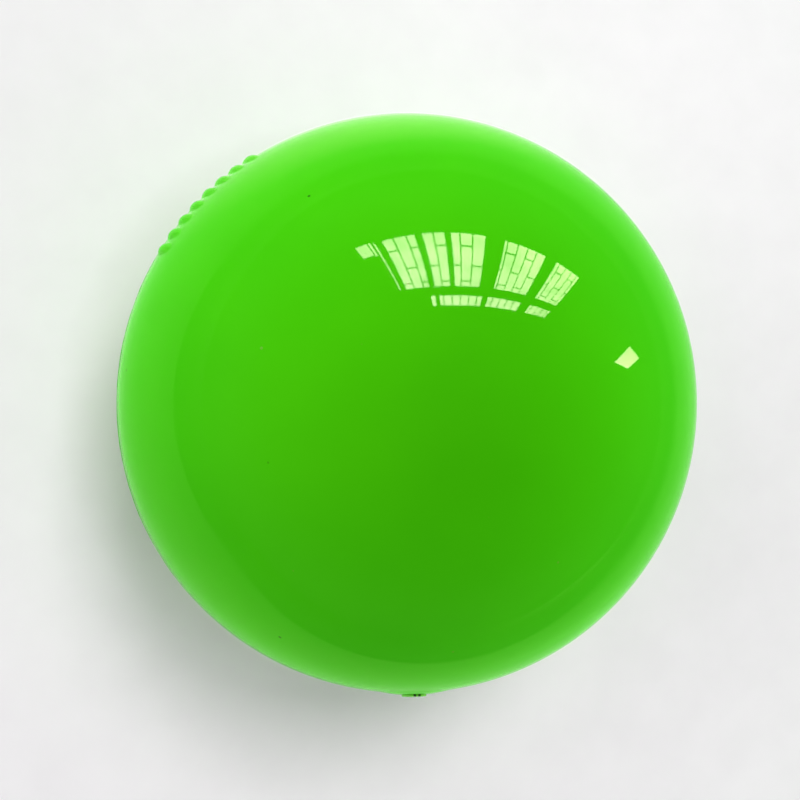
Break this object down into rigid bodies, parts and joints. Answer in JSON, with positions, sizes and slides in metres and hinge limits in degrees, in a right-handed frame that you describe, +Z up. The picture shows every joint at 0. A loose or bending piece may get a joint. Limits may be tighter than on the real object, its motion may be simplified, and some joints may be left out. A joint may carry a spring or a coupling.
{
  "type": "bouncy ball",
  "caption": "Hollow glossy green play ball: moulded halves bonded at a lapped equator, a raised valve pad with a pull-out plug, and moulded grip ribs.",
  "frame": {"origin": "the ball's centre", "axes": "+Z up, square to the seam's plane, with the lower half shell resting on the ground at -Z; -Y points to the side that carries the valve"},
  "size_m": [0.2164, 0.2164, 0.216],
  "materials": {
    "skin": "gloss",
    "cement": "satin",
    "seat": "satin",
    "patch": "matte",
    "plug": "gloss"
  },
  "bodies": {
    "ball": {"upper_half_shell": "skin", "lower_half_shell": "skin", "seam_bond": "cement", "valve_seat": "seat", "valve_patch": "patch"},
    "plug": {"valve_plug": "plug"}
  },
  "joints": [
    {"name": "plug_pull", "type": "slide", "parent": "ball", "child": "plug", "axis": [0, -0.9682, 0.25], "range_m": [0, 0.028]}
  ]
}
